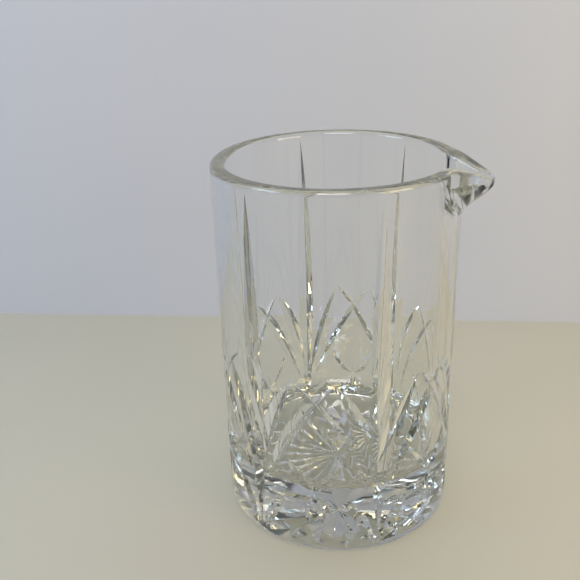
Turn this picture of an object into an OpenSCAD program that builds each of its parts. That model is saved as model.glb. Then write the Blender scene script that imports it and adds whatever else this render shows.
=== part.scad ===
// Mixing glass: one heavy clear vessel with a thick base, a cut pattern and a pouring lip.
// The origin is the centre of the resting face. +Z is up and the lip points along +X.

/* [Body] */
// Height from the resting face to the rim
glass_h = 166; // [150:1:200]
// Outside diameter of the straight wall
outer_d = 106; // [96:1:120]
// Thickness of the wall
wall_t = 6.4; // [5.5:0.1:8]
// Thickness of glass under the hollow
base_t = 29; // [26:1:32]
// Radius of the rounded heel at the bottom edge
heel_r = 3; // [2:0.5:4]
// Radius where the inner wall meets the floor
floor_r = 9; // [6:1:12]

/* [Pouring lip] */
// How far the lip stands out past the wall
lip_reach = 12.5; // [11:0.5:13]
// How far the tip of the lip dips below the rim
lip_drop = 6.6; // [6:0.2:7.6]
// Half angle over which the rim runs out to the lip
lip_spread = 22; // [20:1:23]
// Radius of the rounded nose of the lip
nose_r = 8; // [7:0.5:9]
// Height of the lip below its tip
lip_swell = 14.4; // [13:0.2:16]
// Half width of the channel at its wide end, inside the hollow
channel_half = 15.5; // [14:0.5:16]
// Depth of the channel at its wide end, below the tip
channel_depth = 7; // [6:0.5:8]
// Thickness of glass at the tip
tip_t = 4; // [3.8:0.1:5]

/* [Cut pattern] */
// Number of times the pattern repeats around the wall
repeats = 6; // [6:1:6]
// Included angle of the cutting wheels
cut_angle = 120; // [100:5:130]
// Height of a tall cut's lower tip
spear_foot = 5; // [3:1:8]
// Gap between a tall cut's upper tip and the rim
spear_gap = 3.5; // [3:0.5:10]
// Depth of the tall cuts
spear_depth = 2.4; // [1.5:0.1:2.6]
// Height of the fan's leaf tips
fan_top = 85; // [70:1:90]
// Height where the fan's leaves start
fan_foot = 34; // [32:1:38]
// Depth of the fan's leaves
fan_depth = 2.3; // [2.2:0.1:2.6]
// Depth of the small leaves and petals
petal_depth = 1.6; // [1.2:0.1:2]

/* [Star under the base] */
// Number of rays
rays = 24; // [12:2:24]
// Radius at the outer tips of the rays
ray_r = 41; // [30:1:43]
// Depth of the rays
ray_depth = 0.9; // [0.6:0.1:1.1]

/* [Hidden] */
outer_r = outer_d / 2;
inner_r = outer_r - wall_t;
rim_r = wall_t / 2;
keel_r = 3.5;                                 // underside of the lip below its nose
post_r = 1.6;                                 // rounding where the lip leaves the wall
channel_r = 1.5;                              // rounding along the channel
tip_x = outer_r + lip_reach;
tip_z = glass_h - lip_drop;
dip_start = outer_r - 2.2;                    // where the top of the lip starts to slope down
dip = atan2(lip_drop, tip_x - dip_start);
ray_in = 8;                                   // from the centre to the inner ends of the rays
spread = 360 / repeats;
deg_mm = outer_r * PI / 180;                  // one degree along the wall

// Plain round vessel: straight wall, rounded rim, thick base
module vessel() {
    rotate_extrude($fn = 180) {
        difference() {
            union() {
                translate([0, heel_r]) square([outer_r, glass_h - heel_r - rim_r]);
                square([outer_r - heel_r, heel_r]);
                intersection() {
                    translate([outer_r - heel_r, heel_r]) circle(r = heel_r, $fn = 48);
                    translate([outer_r - heel_r, 0]) square([heel_r, heel_r]);
                }
            }
            translate([0, base_t + floor_r]) square([inner_r, glass_h]);
            translate([0, base_t]) square([inner_r - floor_r, floor_r]);
            translate([inner_r - floor_r, base_t + floor_r]) circle(r = floor_r, $fn = 72);
        }
        intersection() {
            translate([inner_r + rim_r, glass_h - rim_r]) circle(r = rim_r, $fn = 48);
            translate([inner_r, glass_h - rim_r]) square([wall_t, rim_r]);
        }
    }
}

// Path of one wheel in its own frame: the surface is at the origin, outwards is +X, the cut runs along Z.
// bulge is how much the surface curves away along the cut, per square millimetre.
module wheel(length, depth, bulge) {
    reach = length / 2;
    wheel_r = 1 / (2 * depth / (reach * reach) - 2 * bulge);
    clear = 1.2;
    edge = depth + clear + reach * reach * bulge;
    side = edge * tan(cut_angle / 2);
    turn = 2 * asin(min(1, 1.15 * reach / wheel_r));
    translate([wheel_r - depth, 0, 0])
        rotate([90, 0, 0])
            rotate([0, 0, 180 - turn / 2])
                rotate_extrude(angle = turn, $fn = ceil(12 * 360 / turn))
                    polygon([[wheel_r, 0], [wheel_r - edge, side], [wheel_r - edge, -side]]);
}

// A leaf cut into the wall between two places, each an angle in degrees and a height
module leaf(from, to, depth) {
    across = (to[0] - from[0]) * deg_mm;
    up = to[1] - from[1];
    tilt = atan2(across, up);
    rotate([0, 0, (from[0] + to[0]) / 2])
        translate([outer_r, 0, (from[1] + to[1]) / 2])
            rotate([-tilt, 0, 0])
                wheel(norm([across, up]), depth, pow(sin(tilt), 2) / (2 * outer_r));
}

// The same leaf on both sides of the middle line at angle mid
module leaf_pair(mid, from, to, depth) {
    for (side = [-1, 1]) leaf([mid + side * from[0], from[1]], [mid + side * to[0], to[1]], depth);
}

// One repeat of the pattern: a tall cut, its fan, its foot leaves and the star beside it
module pattern() {
    leaf([0, spear_foot], [0, glass_h - spear_gap], spear_depth);
    leaf_pair(0, [4, fan_foot], [19, fan_top], fan_depth);
    leaf_pair(0, [8, fan_foot], [35, fan_top], fan_depth);
    leaf_pair(0, [3, 5], [15, 27], petal_depth);
    leaf_pair(spread / 2, [2, 34], [13, 48], petal_depth);
    leaf_pair(spread / 2, [1, 30], [7, 21], petal_depth);
}

// One ray of the star, a straight V groove cut upwards into the resting face
module ray() {
    side = 2 * ray_depth * tan(cut_angle / 2);
    translate([ray_in, 0, 0])
        rotate([90, 0, 90])
            linear_extrude(height = ray_r - ray_in)
                polygon([[-side, -ray_depth], [side, -ray_depth], [0, ray_depth]]);
}

// Round post that stands in the wall or the lip
module post(x, y, from_z, to_z, r) {
    translate([x, y, from_z]) cylinder(r = r, h = to_z - from_z, $fn = 24);
}

// Glass of the pouring lip, drawn out of the wall to a rounded nose
module lip_glass() {
    difference() {
        hull() {
            post(tip_x - nose_r, 0, tip_z - 3.5, glass_h - 2, nose_r);
            post(tip_x - keel_r - 1.6, 0, tip_z - 6.4, tip_z, keel_r);
            translate([outer_r - post_r - 0.5, 0, tip_z - lip_swell]) sphere(r = post_r, $fn = 24);
            for (side = [-1, 1]) rotate([0, 0, side * lip_spread])
                post(outer_r - post_r - 0.3, 0, tip_z - lip_swell + 6, glass_h - 0.5, post_r);
        }
        cylinder(r = outer_r - wall_t / 2, h = glass_h, $fn = 180);
    }
}

// Channel that leads from the hollow to the tip
module lip_channel() {
    top = glass_h + 5;
    wide_x = inner_r - 5;
    floor_z = tip_z - channel_depth;
    hull() {
        post(tip_x - tip_t - channel_r, 0, tip_z - 2.5, top, channel_r);
        post(wide_x, 0, floor_z, top, channel_r);
        for (side = [-1, 1])
            post(wide_x, side * (channel_half - channel_r), floor_z + 9, top, channel_r);
    }
}

module glass_body() {
    color([0.86, 0.9, 0.88, 0.5])
        difference() {
            union() {
                vessel();
                lip_glass();
            }
            lip_channel();
            translate([dip_start, -outer_r, glass_h])
                rotate([0, dip, 0]) cube([outer_d, outer_d, glass_h]);
            for (i = [0 : repeats - 1]) rotate([0, 0, i * spread]) pattern();
            for (i = [0 : rays - 1]) rotate([0, 0, i * 360 / rays]) ray();
        }
}

glass_body();
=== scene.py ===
import bmesh
import bpy
import math
from mathutils import Matrix, Vector


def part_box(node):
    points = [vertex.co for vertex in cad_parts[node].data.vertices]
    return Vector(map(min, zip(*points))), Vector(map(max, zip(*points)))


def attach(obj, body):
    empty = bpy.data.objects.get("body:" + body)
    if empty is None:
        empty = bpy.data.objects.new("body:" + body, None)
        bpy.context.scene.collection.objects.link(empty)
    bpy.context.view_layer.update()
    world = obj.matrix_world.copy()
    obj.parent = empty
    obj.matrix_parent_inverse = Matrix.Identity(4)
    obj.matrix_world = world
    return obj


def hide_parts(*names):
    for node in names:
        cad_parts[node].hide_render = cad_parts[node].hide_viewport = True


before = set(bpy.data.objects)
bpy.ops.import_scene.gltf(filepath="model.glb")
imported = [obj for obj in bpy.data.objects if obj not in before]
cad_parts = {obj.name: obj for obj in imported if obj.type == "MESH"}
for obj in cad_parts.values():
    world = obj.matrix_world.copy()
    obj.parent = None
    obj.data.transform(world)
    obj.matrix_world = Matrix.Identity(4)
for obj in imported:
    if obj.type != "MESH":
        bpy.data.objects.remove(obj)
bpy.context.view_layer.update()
bpy.ops.object.select_all(action="DESELECT")

mm = 0.001
low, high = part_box("glass_body")
print("frame loaded, box of the glass in mm:", [round(v / mm, 1) for v in (*low, *high)])

# the vessel, in mm
vessel = {
    "radius": high.y / mm,
    "height": high.z / mm,
    "wall": 6.4,
    "base": 29.0,
    "heel": 3.0,
    "heelSteps": 8,
    "floorRound": 9.0,
    "floorSteps": 16,
    "rimRound": 2.3,
    "rimSteps": 12,
    "sides": 576,
    "merge": 0.002,                    # points closer than this become one
    "smooth": 20,                      # edges sharper than this many degrees stay crisp
}
# the pouring lip, in mm and degrees
spout = {
    "reach": (high.x - high.y) / mm - 0.02,   # past the wall
    "nose": 8.0,                       # radius of the rounded nose
    "wallBlend": 2.0,                  # rounding where it leaves the wall
    "slope": 0.45,                     # fall of its top
    "slopeStart": 2.2,                 # inside the face of the wall
    "slopeRound": 1.5,
    "edge": 1.5,                       # the top edge lies this far inside the outline
    "thick": 3.0,                      # from the outer to the inner top edge
    "foot": 141.0,                     # where it starts to swell out of the wall
    "full": 157.0,                     # where it stands out the most
    "swell": 1.3,                      # higher keeps it slim for longer
    "channelTip": 61.3,
    "channelOpen": 0.7,                # half width gained for each mm towards the hollow
    "channelRound": 1.0,               # half angle of its rounded tip
    "channelEase": 0.0175,             # sine of that angle
    "channelBlend": 1.0,
    "channelFloor": 152.4,
    "channelFull": 157.5,
    "spread": 28.0,                    # half angle that it takes up
    "rings": 30,
    "ringsBelow": 2.0,                 # the first ring is this far under the foot
}


def pick(kind, test):
    # selects faces, edges or vertices of the mesh in edit mode by a test on them
    bpy.ops.mesh.select_mode(type=kind)
    bpy.ops.mesh.select_all(action="DESELECT")
    shape = bmesh.from_edit_mesh(bpy.context.object.data)
    parts = {"FACE": shape.faces, "EDGE": shape.edges, "VERT": shape.verts}[kind]
    for part in parts:
        part.select_set(test(part))
    shape.select_flush_mode()
    bmesh.update_edit_mesh(bpy.context.object.data)


def isCircle(edge, radius, z):
    # an edge of the level circle of that radius at that height
    return all(abs(v.co.z - z) < 1e-5 and abs(v.co.xy.length - radius) < 1e-5 for v in edge.verts)


def roundOff(size, steps):
    # rounds the selected edges, with the size in mm
    bpy.ops.mesh.bevel(
        offset=size * mm, segments=steps, profile=0.5, affect="EDGES", clamp_overlap=False)


def faceOutwards():
    bpy.ops.mesh.select_all(action="SELECT")
    bpy.ops.mesh.normals_make_consistent(inside=False)
    bpy.ops.object.mode_set(mode="OBJECT")


def makeCup():
    radius, height = vessel["radius"] * mm, vessel["height"] * mm
    inner, floor = radius - vessel["wall"] * mm, vessel["base"] * mm
    bpy.ops.mesh.primitive_cylinder_add(
        vertices=vessel["sides"], radius=radius, depth=height, location=(0, 0, height / 2))
    cup = bpy.context.object
    cup.name = "mixingGlass"
    bpy.ops.object.transform_apply(location=True, rotation=False, scale=False)
    bpy.ops.object.mode_set(mode="EDIT")
    pick("FACE", lambda f: f.normal.z > 0.9)
    bpy.ops.mesh.inset(thickness=vessel["wall"] * mm, use_even_offset=True)
    bpy.ops.mesh.extrude_region_move(TRANSFORM_OT_translate={"value": (0, 0, floor - height)})
    pick("EDGE", lambda e: isCircle(e, inner, floor))
    roundOff(vessel["floorRound"], vessel["floorSteps"])
    pick("EDGE", lambda e: isCircle(e, radius, 0.0))
    roundOff(vessel["heel"], vessel["heelSteps"])
    pick("EDGE", lambda e: isCircle(e, radius, height) or isCircle(e, inner, height))
    roundOff(vessel["rimRound"], vessel["rimSteps"])
    # level rings, so that the wall can bend out into the lip
    start = spout["foot"] - spout["ringsBelow"]
    for i in range(spout["rings"]):
        z = start + (vessel["height"] - vessel["rimRound"] - start) * i / spout["rings"]
        bpy.ops.mesh.select_all(action="SELECT")
        bpy.ops.mesh.bisect(plane_co=(0, 0, z * mm), plane_no=(0, 0, 1))
    faceOutwards()
    return cup


def blend(a, b, width):
    # the larger of two lengths, with the corner between them rounded off
    return max(a, b) + max(0.0, width - abs(a - b)) ** 2 / (4 * width)


def outerLine(angle):
    # plan of the outside: two straight sides at a right angle, a round nose and the round wall
    turn, nose = math.radians(abs(angle)), spout["nose"]
    middle = vessel["radius"] + spout["reach"] - nose
    side = (middle + nose * math.sqrt(2)) / (math.cos(turn) + math.sin(turn))
    if math.atan2(nose, middle * math.sqrt(2) + nose) > turn:
        side = middle * math.cos(turn) + math.sqrt(nose ** 2 - (middle * math.sin(turn)) ** 2)
    return blend(side, vessel["radius"], spout["wallBlend"])


def innerLine(angle):
    # plan of the channel: a V that opens towards the hollow
    turn = math.radians(math.hypot(angle, spout["channelRound"]))
    widen = spout["channelOpen"]
    across = math.sin(turn) + widen * math.cos(turn)
    return spout["channelTip"] * (widen + spout["channelEase"]) / across


def pullLip(cup):
    # the hot rim is drawn out: outside, inside and top each follow their own curve
    height, foot = vessel["height"], spout["foot"]
    inner = vessel["radius"] - vessel["wall"]
    for v in cup.data.vertices:
        ring, z = v.co.xy.length / mm, v.co.z / mm
        angle = math.degrees(math.atan2(v.co.y, v.co.x))
        if z < foot or abs(angle) > spout["spread"] or ring < inner - 0.1:
            continue
        outer, turn = outerLine(angle), math.radians(angle)
        side = (ring - inner) / vessel["wall"]
        edge = outer - spout["edge"] - (1 - side) * spout["thick"]
        past = edge * math.cos(turn) - vessel["radius"] + spout["slopeStart"]
        drop = spout["slope"] * (past + math.hypot(past, spout["slopeRound"])) / 2
        z -= drop * (z - foot) / (height - foot)
        rise = min(1.0, (z - foot) / (spout["full"] - foot)) ** spout["swell"]
        outward = (outer - vessel["radius"]) * rise * rise * (3 - 2 * rise)
        under = (spout["channelFull"] - z) / (spout["channelFull"] - spout["channelFloor"])
        back = min(1.0, max(0.0, under)) * (spout["channelTip"] - inner)
        inward = blend(innerLine(angle) - back, inner, spout["channelBlend"]) - inner
        ring += outward * side + inward * (1 - side)
        v.co = Vector((ring * math.cos(turn), ring * math.sin(turn), z)) * mm


# the cut pattern, one sixth of the way round: angles in degrees from a tall cut, heights in mm;
# open is the angle between the two sides of the V, and a twin is the same cut mirrored
pattern = {
    "spear": {"path": [(0, 4.5), (0, 84), (0, 162.5)], "half": 4.2, "open": 100, "twin": False},
    "innerLeaf": {"path": [(1.5, 33), (5.5, 66), (19.8, 85.2)], "half": 3.3, "open": 116, "twin": True},
    "outerLeaf": {"path": [(5, 33), (20, 70), (39.7, 85.3)], "half": 3.1, "open": 116, "twin": True},
    "footLeaf": {"path": [(2.7, 5), (7, 18), (14.8, 27.5)], "half": 2.6, "open": 120, "twin": True},
    "starArm": {"path": [(31, 33), (37, 38), (43.5, 48.5)], "half": 2.2, "open": 120, "twin": True},
    "starSide": {"path": [(30.5, 30), (35, 27), (37.5, 21)], "half": 1.6, "open": 120, "twin": True},
    "starFoot": {"path": [(30.7, 29.5), (34, 22), (33.2, 15.8)], "half": 1.7, "open": 120, "twin": True},
    "starStem": {"path": [(30, 31), (30, 36), (30, 41)], "half": 0.9, "open": 120, "twin": False},
}
cutting = {
    "repeats": 6,
    "over": 0.6,                       # how far the wedges stand out of the glass, in mm
    "overrun": 0.02,                   # share of its length by which a wedge runs past each end
    "steps": 28,
}
# the star under the base, in mm and degrees
rays = {"count": 24, "inner": 0.6, "outer": 43.0, "widest": 31.0, "share": 0.97, "open": 120}


def curve(path, u):
    # point and direction of a curve with one control point
    a, b, c = (Vector(p) for p in path)
    spot = a * (1 - u) ** 2 + b * 2 * u * (1 - u) + c * u ** 2
    return spot, (b - a) * 2 * (1 - u) + (c - b) * 2 * u


def makeWedge(name, place):
    # a long three-sided wedge
    # place says where each corner goes, from how far along it is, and -1, 0 or 1 across
    bpy.ops.mesh.primitive_cylinder_add(vertices=3, radius=1, depth=1)
    wedge = bpy.context.object
    wedge.name = name
    bpy.ops.object.mode_set(mode="EDIT")
    pick("EDGE", lambda e: abs(e.verts[0].co.z - e.verts[1].co.z) > 0.5)
    bpy.ops.mesh.subdivide(number_cuts=cutting["steps"] - 1)
    bpy.ops.object.mode_set(mode="OBJECT")
    for v in wedge.data.vertices:
        across = 0 if abs(v.co.x) < 0.1 else math.copysign(1, v.co.x)
        v.co = place(v.co.z + 0.5, across)
    bpy.ops.object.mode_set(mode="EDIT")
    faceOutwards()
    return wedge


def wallPlace(leaf, mirror):
    # across the wall the wedge is a V of one slope, so its width and depth grow and shrink together
    radius, over, overrun = vessel["radius"], cutting["over"], cutting["overrun"]
    slope = math.tan(math.radians(leaf["open"] / 2))
    perDegree = math.radians(1) * radius
    flat = [(a * perDegree, z) for a, z in leaf["path"]]

    def place(along, across):
        u = along * (1 + 2 * overrun) - overrun
        spot, way = curve(flat, u)
        depth = leaf["half"] / slope * (1 - (2 * u - 1) ** 2)
        if across:
            width = (depth + over) * slope
            spot = spot + Vector((way.y, -way.x)).normalized() * width * across
            ring = radius + over
        else:
            ring = radius - depth
        turn = spot.x / radius * (-1 if mirror else 1)
        return Vector((ring * math.cos(turn), ring * math.sin(turn), spot.y)) * mm

    return place


def rayPlace(along, across):
    # a ray widens outwards, then rounds off to its outer tip
    reach = rays["inner"] + (rays["outer"] - rays["inner"]) * along
    share = math.tan(math.pi / rays["count"]) * rays["share"]
    slope = math.tan(math.radians(rays["open"] / 2))
    half = reach * share
    if reach > rays["widest"]:
        gone = (reach - rays["widest"]) / (rays["outer"] - rays["widest"])
        half = rays["widest"] * share * (1 - gone ** 2)
    depth = half / slope
    if across:
        return Vector((reach, across * (depth + cutting["over"]) * slope, -cutting["over"])) * mm
    return Vector((reach, 0, depth)) * mm


def carve(cup, wedge, count):
    # cuts the wedge away at equal turns about the axis of the glass
    for i in range(count):
        tool = wedge.copy()
        tool.data = wedge.data.copy()
        tool.data.transform(Matrix.Rotation(i * math.tau / count, 4, "Z"))
        bpy.context.collection.objects.link(tool)
        cut = cup.modifiers.new("cut", "BOOLEAN")
        cut.object = tool
        cut.operation = "DIFFERENCE"
        cut.solver = "MANIFOLD"
        bpy.context.view_layer.objects.active = cup
        bpy.ops.object.modifier_apply(modifier=cut.name)
        bpy.data.objects.remove(tool)
    bpy.data.objects.remove(wedge)


def cutPattern(cup):
    for name, leaf in pattern.items():
        for mirror in ([False, True] if leaf["twin"] else [False]):
            carve(cup, makeWedge(name, wallPlace(leaf, mirror)), cutting["repeats"])
        print("cut", name)
    carve(cup, makeWedge("ray", rayPlace), rays["count"])
    print("cut the star under the base")


def finishMesh(cup):
    bpy.ops.object.select_all(action="DESELECT")
    cup.select_set(True)
    bpy.context.view_layer.objects.active = cup
    bpy.ops.object.mode_set(mode="EDIT")
    bpy.ops.mesh.select_all(action="SELECT")
    bpy.ops.mesh.remove_doubles(threshold=vessel["merge"] * mm)
    bpy.ops.mesh.dissolve_degenerate(threshold=vessel["merge"] * mm)
    faceOutwards()
    bpy.ops.object.shade_smooth_by_angle(angle=math.radians(vessel["smooth"]))


# material of the glass: clear, faintly grey-green in depth, slightly uneven as pressed glass is
crystal = {
    "colour": (0.985, 0.99, 0.99, 1),
    "ior": 1.52,
    "tint": (0.60, 0.615, 0.595, 1),
    "density": 11.0,
    "shadow": (0.96, 0.97, 0.96, 1),
    "hazeScale": 38,
    "hazeFrom": 0.52,
    "hazeTo": 0.85,
    "hazeRough": 0.035,
    "waveScale": 55,
    "waveStrength": 0.35,
    "waveDepth": 0.012,                # in mm
}


def setSockets(node, **values):
    # sets sockets by name, with an underscore for each space
    for name, value in values.items():
        node.inputs[name.replace("_", " ")].default_value = value


def makeCrystal():
    material = bpy.data.materials.new("clearCrystal")
    material.use_nodes = True
    nodes, links = material.node_tree.nodes, material.node_tree.links
    nodes.clear()
    output = nodes.new("ShaderNodeOutputMaterial")
    glass = nodes.new("ShaderNodeBsdfPrincipled")
    setSockets(glass, Base_Color=crystal["colour"], IOR=crystal["ior"],
               Transmission_Weight=1.0, Metallic=0.0)
    place = nodes.new("ShaderNodeTexCoord")
    # fine haze of handling and water marks, only in the roughness
    marks = nodes.new("ShaderNodeTexNoise")
    setSockets(marks, Scale=crystal["hazeScale"], Detail=6)
    haze = nodes.new("ShaderNodeMapRange")
    setSockets(haze, From_Min=crystal["hazeFrom"], From_Max=crystal["hazeTo"],
               To_Min=0.0, To_Max=crystal["hazeRough"])
    # slow waves left by the mould
    waves = nodes.new("ShaderNodeTexNoise")
    setSockets(waves, Scale=crystal["waveScale"], Detail=1)
    bump = nodes.new("ShaderNodeBump")
    setSockets(bump, Strength=crystal["waveStrength"], Distance=crystal["waveDepth"] * mm)
    # lamps shine through the glass onto the table
    path = nodes.new("ShaderNodeLightPath")
    through = nodes.new("ShaderNodeBsdfTransparent")
    setSockets(through, Color=crystal["shadow"])
    mix = nodes.new("ShaderNodeMixShader")
    depth = nodes.new("ShaderNodeVolumeAbsorption")
    setSockets(depth, Color=crystal["tint"], Density=crystal["density"])
    links.new(place.outputs["Object"], marks.inputs["Vector"])
    links.new(place.outputs["Object"], waves.inputs["Vector"])
    links.new(marks.outputs["Fac"], haze.inputs["Value"])
    links.new(haze.outputs["Result"], glass.inputs["Roughness"])
    links.new(waves.outputs["Fac"], bump.inputs["Height"])
    links.new(bump.outputs["Normal"], glass.inputs["Normal"])
    links.new(path.outputs["Is Shadow Ray"], mix.inputs["Fac"])
    links.new(glass.outputs["BSDF"], mix.inputs[1])
    links.new(through.outputs["BSDF"], mix.inputs[2])
    links.new(mix.outputs["Shader"], output.inputs["Surface"])
    links.new(depth.outputs["Volume"], output.inputs["Volume"])
    return material


# place of the view, in mm and degrees
view = {
    "distance": 322.1,
    "azimuth": -79.5,
    "height": 246.8,
    "heading": 14.22,
    "down": 23.8,
    "roll": -1.84,
    "lens": 48.3,
}


def makeCamera():
    turn, away = math.radians(view["azimuth"]), view["distance"]
    spot = Vector((away * math.cos(turn), away * math.sin(turn), view["height"])) * mm
    bpy.ops.object.camera_add(location=spot)
    camera = bpy.context.object
    camera.name = "camera"
    aim = (Matrix.Rotation(math.radians(view["heading"]), 3, "Z")
           @ Matrix.Rotation(math.radians(90 - view["down"]), 3, "X")
           @ Matrix.Rotation(math.radians(view["roll"]), 3, "Z"))
    camera.rotation_euler = aim.to_euler()
    camera.data.lens = view["lens"]
    camera.data.sensor_width = 36
    camera.data.clip_start = 0.01
    bpy.context.scene.camera = camera


# the plain setting: pale table and pale wall
setting = {
    "size": 6,                         # of the table and the wall, in metres
    "under": 0.05,                     # the table lies this many mm under the glass
    "wallGap": 184.8,                  # in mm, from the axis of the glass
    "wallTurn": 7.96,                  # in degrees
    "tableColour": (0.52, 0.50, 0.43, 1),
    "tableRough": 0.6,
    "wallColour": (0.585, 0.605, 0.71, 1),
    "wallRough": 0.9,
    "cloudScale": 6,
    "cloudShade": 0.94,
    "worldColour": (0.13, 0.14, 0.155, 1),
}
# soft lamps: power, size, place in metres, colour
lamps = {
    "window": (9.8, 0.6, (-1.1, -0.7, 0.9), (0.62, 0.80, 1.0)),
    "room": (4.6, 0.45, (0.75, -0.35, 0.5), (1.0, 0.79, 0.37)),
    "ceiling": (14.4, 0.7, (0.1, -0.9, 1.6), (1.0, 0.98, 0.95)),
}
lampAim = (0, 0, 0.08)
bounces = {"total": 32, "glossy": 24, "transmission": 24}


def plainMaterial(name, colour, rough):
    material = bpy.data.materials.new(name)
    material.use_nodes = True
    nodes, links = material.node_tree.nodes, material.node_tree.links
    surface = nodes["Principled BSDF"]
    setSockets(surface, Roughness=rough)
    place = nodes.new("ShaderNodeTexCoord")
    cloud = nodes.new("ShaderNodeTexNoise")
    setSockets(cloud, Scale=setting["cloudScale"])
    tone = nodes.new("ShaderNodeMix")
    tone.data_type = "RGBA"
    tone.inputs["A"].default_value = colour
    tone.inputs["B"].default_value = tuple(c * setting["cloudShade"] for c in colour[:3]) + (1,)
    links.new(place.outputs["Object"], cloud.inputs["Vector"])
    links.new(cloud.outputs["Fac"], tone.inputs["Factor"])
    links.new(tone.outputs["Result"], surface.inputs["Base Color"])
    return material


def openFromBehind(material):
    # the wall is painted on its near side only, so the glass can be seen from behind too
    nodes, links = material.node_tree.nodes, material.node_tree.links
    side = nodes.new("ShaderNodeNewGeometry")
    clear = nodes.new("ShaderNodeBsdfTransparent")
    mix = nodes.new("ShaderNodeMixShader")
    links.new(side.outputs["Backfacing"], mix.inputs["Fac"])
    links.new(nodes["Principled BSDF"].outputs["BSDF"], mix.inputs[1])
    links.new(clear.outputs["BSDF"], mix.inputs[2])
    links.new(mix.outputs["Shader"], nodes["Material Output"].inputs["Surface"])


def makeSetting():
    heading = math.radians(setting["wallTurn"])
    ahead = Vector((-math.sin(heading), math.cos(heading), 0))
    bpy.ops.mesh.primitive_plane_add(size=setting["size"], location=(0, 0, -setting["under"] * mm))
    table = bpy.context.object
    table.name = "table"
    top = plainMaterial("tableTop", setting["tableColour"], setting["tableRough"])
    table.data.materials.append(top)
    bpy.ops.mesh.primitive_plane_add(
        size=setting["size"], location=ahead * setting["wallGap"] * mm,
        rotation=(math.pi / 2, 0, heading))
    wall = bpy.context.object
    wall.name = "wall"
    paint = plainMaterial("wallPaint", setting["wallColour"], setting["wallRough"])
    openFromBehind(paint)
    wall.data.materials.append(paint)


def addLamp(name, power, size, spot, colour):
    # a square soft lamp that faces the glass
    bpy.ops.object.light_add(type="AREA", location=spot)
    lamp = bpy.context.object
    lamp.name = name
    lamp.data.size = size
    lamp.data.energy = power
    lamp.data.color = colour
    lamp.rotation_euler = (Vector(lampAim) - Vector(spot)).to_track_quat("-Z", "Y").to_euler()


def makeLight():
    for name, (power, size, spot, colour) in lamps.items():
        addLamp(name, power, size, spot, colour)
    world = bpy.data.worlds.new("room")
    bpy.context.scene.world = world
    world.use_nodes = True
    setSockets(world.node_tree.nodes["Background"], Color=setting["worldColour"])
    scene = bpy.context.scene
    scene.view_settings.view_transform = "Standard"
    # light runs along inside thick clear glass, so it is followed through many reflections
    scene.cycles.max_bounces = bounces["total"]
    scene.cycles.glossy_bounces = bounces["glossy"]
    scene.cycles.transmission_bounces = bounces["transmission"]
    # lamps reach the table through the glass by its clear shadow alone
    scene.cycles.caustics_refractive = False
    scene.cycles.caustics_reflective = False


glass = makeCup()
pullLip(glass)
print("cup made:", len(glass.data.polygons), "faces")
cutPattern(glass)
finishMesh(glass)
glass.data.materials.clear()
glass.data.materials.append(makeCrystal())
print("glass finished:", len(glass.data.polygons), "faces,",
      sum(len(p.vertices) - 2 for p in glass.data.polygons), "triangles")
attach(glass, "root")
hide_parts("glass_body")
makeSetting()
makeLight()
makeCamera()
print("setting, light and camera made")
